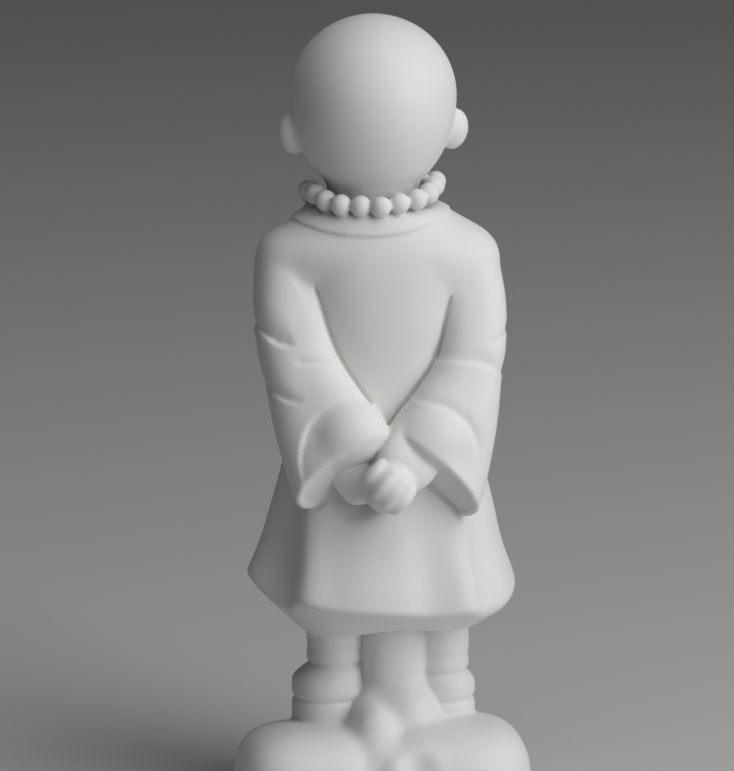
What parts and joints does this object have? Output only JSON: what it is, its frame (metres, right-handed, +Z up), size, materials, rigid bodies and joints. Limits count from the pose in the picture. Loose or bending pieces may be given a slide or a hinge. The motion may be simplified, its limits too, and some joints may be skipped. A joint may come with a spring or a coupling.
{
  "type": "baby monk statue",
  "caption": "Small white statue of a baby monk with a shaven head, bead necklace and loose robe, hands clasped behind the back, standing on a low lumpy rock.",
  "frame": {"origin": "middle of the rock's flat underside", "axes": "+Z up, +X to the figure's left, +Y to the figure's back; the figure faces -Y"},
  "size_m": [0.0547, 0.0508, 0.149],
  "materials": {
    "white_bisque": "unglazed white porcelain with a soft matte surface"
  },
  "bodies": {
    "root": {"baby_monk": "white_bisque"}
  },
  "joints": []
}
